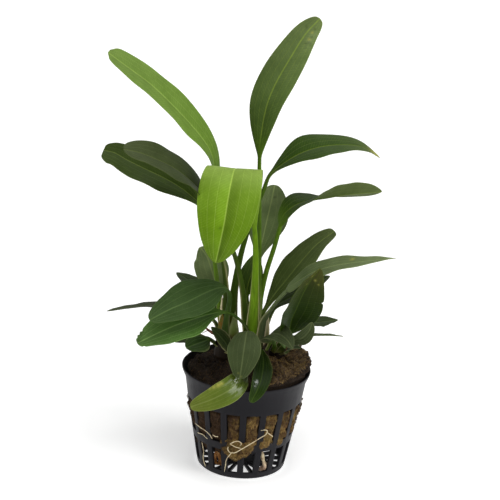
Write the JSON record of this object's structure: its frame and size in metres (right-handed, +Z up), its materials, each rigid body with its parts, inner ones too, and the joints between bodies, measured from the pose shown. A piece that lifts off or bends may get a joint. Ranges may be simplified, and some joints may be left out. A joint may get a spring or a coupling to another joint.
{
  "type": "potted echinodorus",
  "caption": "Leafy aquarium sword plant with long-stalked oval blades, rooted in rock wool in a slotted round net pot",
  "frame": {"origin": "centre of the pot's bottom face, on the surface it stands on", "axes": "+Z up along the pot's axis, +X to the right and +Y away from the viewer in the front view"},
  "size_m": [0.1233, 0.0747, 0.1925],
  "materials": {
    "pot_black": "satin black moulded plastic, a little dusty",
    "wool": "wet brown mineral wool with loose fibres",
    "crown": "swollen leaf bases in papery sheaths",
    "leaf_dark": "dark green leaf, satin, pale veins",
    "leaf_light": "young bright green leaf, satin, fine side veins",
    "root_cream": "moist cream root",
    "dead_brown": "dry withered stalk"
  },
  "bodies": {
    "root": {"net_pot": "pot_black", "rockwool": "wool", "crown_left": "crown", "crown_right": "crown", "crown_side": "crown", "leaf_upper_left": "leaf_light", "leaf_folded_over": "leaf_light", "leaf_tallest": "leaf_dark", "leaf_arching_right": "leaf_dark", "leaf_twisted_right": "leaf_dark", "leaf_behind_center": "leaf_dark", "leaf_back_low": "leaf_dark", "leaf_left_front_high": "leaf_dark", "leaf_left_back_high": "leaf_dark", "leaf_back_left": "leaf_dark", "leaf_left_broad": "leaf_dark", "leaf_left_front_low": "leaf_light", "leaf_left_edge_on": "leaf_dark", "leaf_back_tip": "leaf_dark", "leaf_left_small": "leaf_dark", "leaf_left_small_back": "leaf_dark", "leaf_left_short": "leaf_dark", "leaf_front_oval": "leaf_dark", "leaf_over_rim_left": "leaf_light", "leaf_over_rim_right": "leaf_dark", "leaf_right_broad": "leaf_dark", "leaf_right_long": "leaf_dark", "leaf_right_boat": "leaf_light", "leaf_right_behind": "leaf_dark", "leaf_right_dark": "leaf_dark", "leaf_right_arch": "leaf_dark", "leaf_right_round": "leaf_light", "leaf_right_edge_on": "leaf_dark", "leaf_over_wool": "leaf_dark", "root_fork": "root_cream", "root_front": "root_cream", "root_hook": "root_cream", "root_inside": "root_cream", "root_left_drop": "root_cream", "root_left_fork": "root_cream", "root_left_long": "root_cream", "root_left_short": "root_cream", "root_loop": "root_cream", "dead_stalk": "dead_brown"}
  },
  "joints": []
}
